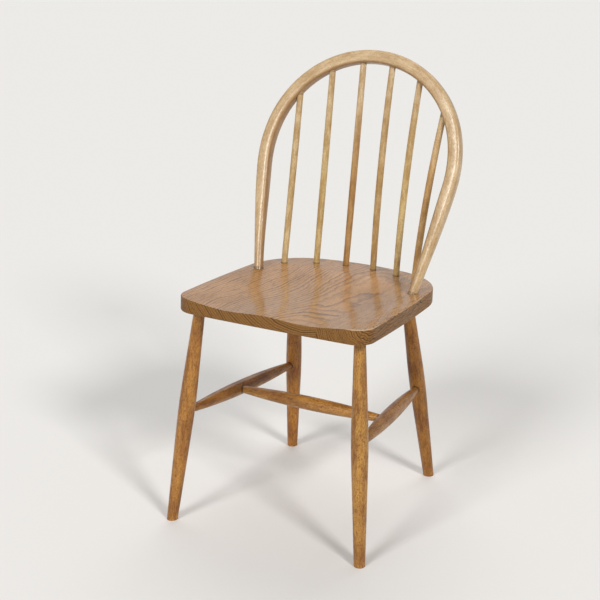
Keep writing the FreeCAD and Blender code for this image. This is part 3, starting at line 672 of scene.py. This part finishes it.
# The bare wood's colour, and where its pores are.
def boardColour(tree, grain, level, boardPores):
    endGrain = spread(tree, sums(tree, "ABSOLUTE", level), *seat["endFrom"], 1.0, 0.0)
    tone = sums(tree, "MULTIPLY_ADD", grain["Band"], seat["bandTone"],
                product(tree, grain["Clouds"], seat["cloudTone"]))
    top = blendColours(tree, tone, seat["pale"], seat["deep"])
    end = blendColours(tree, grain["Band"], seat["endPale"], seat["endDeep"])
    colour = blendColours(tree, endGrain, top, end)
    share = sums(tree, "MULTIPLY_ADD", grain["Band"], seat["bandPores"], boardPores)
    share = sums(tree, "MULTIPLY_ADD", endGrain, seat["endPores"], share)
    share = sums(tree, "MINIMUM", share, seat["mostPores"])
    pores = product(tree, grain["Pores"], share)
    return blendColours(tree, pores, colour, seat["pore"]), pores


# Pale wear and a painted highlight on the rounded top edge: in patches all round, more at the front
# right corner.
def edgeWearAndHighlight(tree, position, flat, level):
    edge = product(tree, spread(tree, level, *seat["edgeBegins"]),
                   spread(tree, level, *seat["edgeEnds"]))
    patches = noise(tree, flat, seat["patchScale"], seat["patchDetail"])
    patches = spread(tree, patches, *seat["patchRange"])
    paleWearAndHighlight = product(tree, product(tree, edge, patches), seat["wearAndHighlightAmount"])
    parts = split(tree, position)
    corner = product(tree, spread(tree, parts["X"], *seat["cornerX"]),
                     spread(tree, parts["Y"], *seat["cornerY"]))
    cornerWearAndHighlight = product(tree, product(tree, edge, corner), seat["cornerWearAndHighlightAmount"])
    return sums(tree, "MAXIMUM", paleWearAndHighlight, cornerWearAndHighlight)


def finishSeat():
    for name, board in seat["boards"].items():
        material, tree, shader, position = startFinish("elm_" + name, seat)
        flat = seatCoordinates(tree, position)
        level = split(tree, surfaceDirection(tree))["Z"]
        grain = useGroup(tree, elmFigure, {"Vector": flat, **board["figure"]})
        colour, pores = boardColour(tree, grain, level, board["pores"])
        # pale wear and a painted highlight on the top edge
        edgeWearAndHighlightMask = edgeWearAndHighlight(tree, position, flat, level)
        colour = blendColours(tree, edgeWearAndHighlightMask, colour, seat["paleWearAndHighlight"])
        # dirt and painted shade round the bow's feet and the sticks
        dirtAndShade = product(tree, dirtAndShadeAt(tree, position, seatJoints("left" in name)),
                       seat["dirtAndShadeAmount"])
        colour = blendColours(tree, dirtAndShade, colour, seat["dirtAndShade"])
        roughness = spread(tree, grain["Clouds"], 0.0, 1.0, *seat["gloss"])
        polish = spread(tree, level, *seat["coatFrom"], seat["edgeCoat"], seat["coat"])
        tree.links.new(colour, shader.inputs["Base Color"])
        tree.links.new(roughness, shader.inputs["Roughness"])
        tree.links.new(polish, shader.inputs["Coat Weight"])
        height = sums(tree, "MULTIPLY_ADD", grain["Band"], seat["bandRelief"], grain["Waves"])
        height = sums(tree, "SUBTRACT", height, product(tree, pores, seat["poreRelief"]))
        addBump(tree, shader, height, seat["relief"])
        dress(name, material)


finishSeat()
print("seat finished")


# Wedges in the feet of the bow

wedge = {
    "pale": (0.40, 0.25, 0.12),
    "deep": (0.27, 0.15, 0.065),
    "fleck": (0.14, 0.07, 0.03),
    "fleckAmount": 0.6,
    "blotches": 0.5,
    "relief": 0.0002,
    "shine": 0.4,
    "coat": 0.1,
    "coatRoughness": 0.4,
    "shift": 1.3,              # of the figure, and 1 more for the second wedge
}


def finishWedges():
    for number, name in enumerate(("bow_wedge_left", "bow_wedge_right")):
        material, tree, shader, position = startFinish("oak_" + name, wedge)
        low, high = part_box(name)
        coordinates = alongAxis(tree, position, low, high, wedge["shift"] + number)
        finishBeech(tree, shader, position, coordinates, wedge)
        dress(name, material)


finishWedges()
print("wedges finished")


# Floor and light

studio = {
    "floor": (0.78, 0.772, 0.76),
    "floorRoughness": 0.9,
    "floorShine": 0.1,
    "floorHalf": 25.0,
    "world": (1.0, 0.99, 0.975),
    "worldLight": 0.29,        # what lights the chair
    "worldShine": 0.54,        # what its gloss mirrors
    "worldSeen": 0.76,         # what shows past the edge of the floor
    "lamps": {                 # wide is in degrees
        "keyRight": {"from": (2.6, -1.5, 2.0), "wide": 12.0, "power": 1.7,
                     "colour": (1.0, 0.98, 0.95)},
        "fillBack": {"from": (-0.8, 2.0, 2.6), "wide": 50.0, "power": 0.9,
                     "colour": (1.0, 1.0, 1.0)},
        "fillLeft": {"from": (-0.5, -2.7, 1.8), "wide": 18.0, "power": 1.55,
                     "colour": (1.0, 0.99, 0.97)},
    },
}


def makeFloor():
    shape = bmesh.new()
    bmesh.ops.create_grid(shape, x_segments=1, y_segments=1, size=studio["floorHalf"])
    mesh = bpy.data.meshes.new("floor")
    shape.to_mesh(mesh)
    shape.free()
    material = bpy.data.materials.new("paleFloor")
    material.use_nodes = True
    shader = material.node_tree.nodes["Principled BSDF"]
    shader.inputs["Base Color"].default_value = (*studio["floor"], 1)
    shader.inputs["Roughness"].default_value = studio["floorRoughness"]
    shader.inputs["Specular IOR Level"].default_value = studio["floorShine"]
    mesh.materials.append(material)
    floor = bpy.data.objects.new("floor", mesh)
    bpy.context.scene.collection.objects.link(floor)


def makeWorld():
    world = bpy.data.worlds.new("studio")
    world.use_nodes = True
    tree = world.node_tree
    background = tree.nodes["Background"]
    background.inputs["Color"].default_value = (*studio["world"], 1)
    ray = tree.nodes.new("ShaderNodeLightPath").outputs
    strength = studio["worldLight"]
    for kind, wanted in (("Is Glossy Ray", "worldShine"), ("Is Camera Ray", "worldSeen")):
        extra = studio[wanted] - studio["worldLight"]
        strength = sums(tree, "MULTIPLY_ADD", ray[kind], extra, strength)
    tree.links.new(strength, background.inputs["Strength"])
    bpy.context.scene.world = world


def makeLamps():
    for name, lamp in studio["lamps"].items():
        data = bpy.data.lights.new(name, "SUN")
        data.angle = math.radians(lamp["wide"])
        data.energy = lamp["power"]
        data.color = lamp["colour"]
        made = bpy.data.objects.new(name, data)
        made.location = lamp["from"]
        made.rotation_euler = Vector(lamp["from"]).to_track_quat("Z", "Y").to_euler()
        bpy.context.scene.collection.objects.link(made)


makeFloor()
makeWorld()
makeLamps()
bpy.context.scene.view_settings.view_transform = "Standard"
print("floor and light ready")
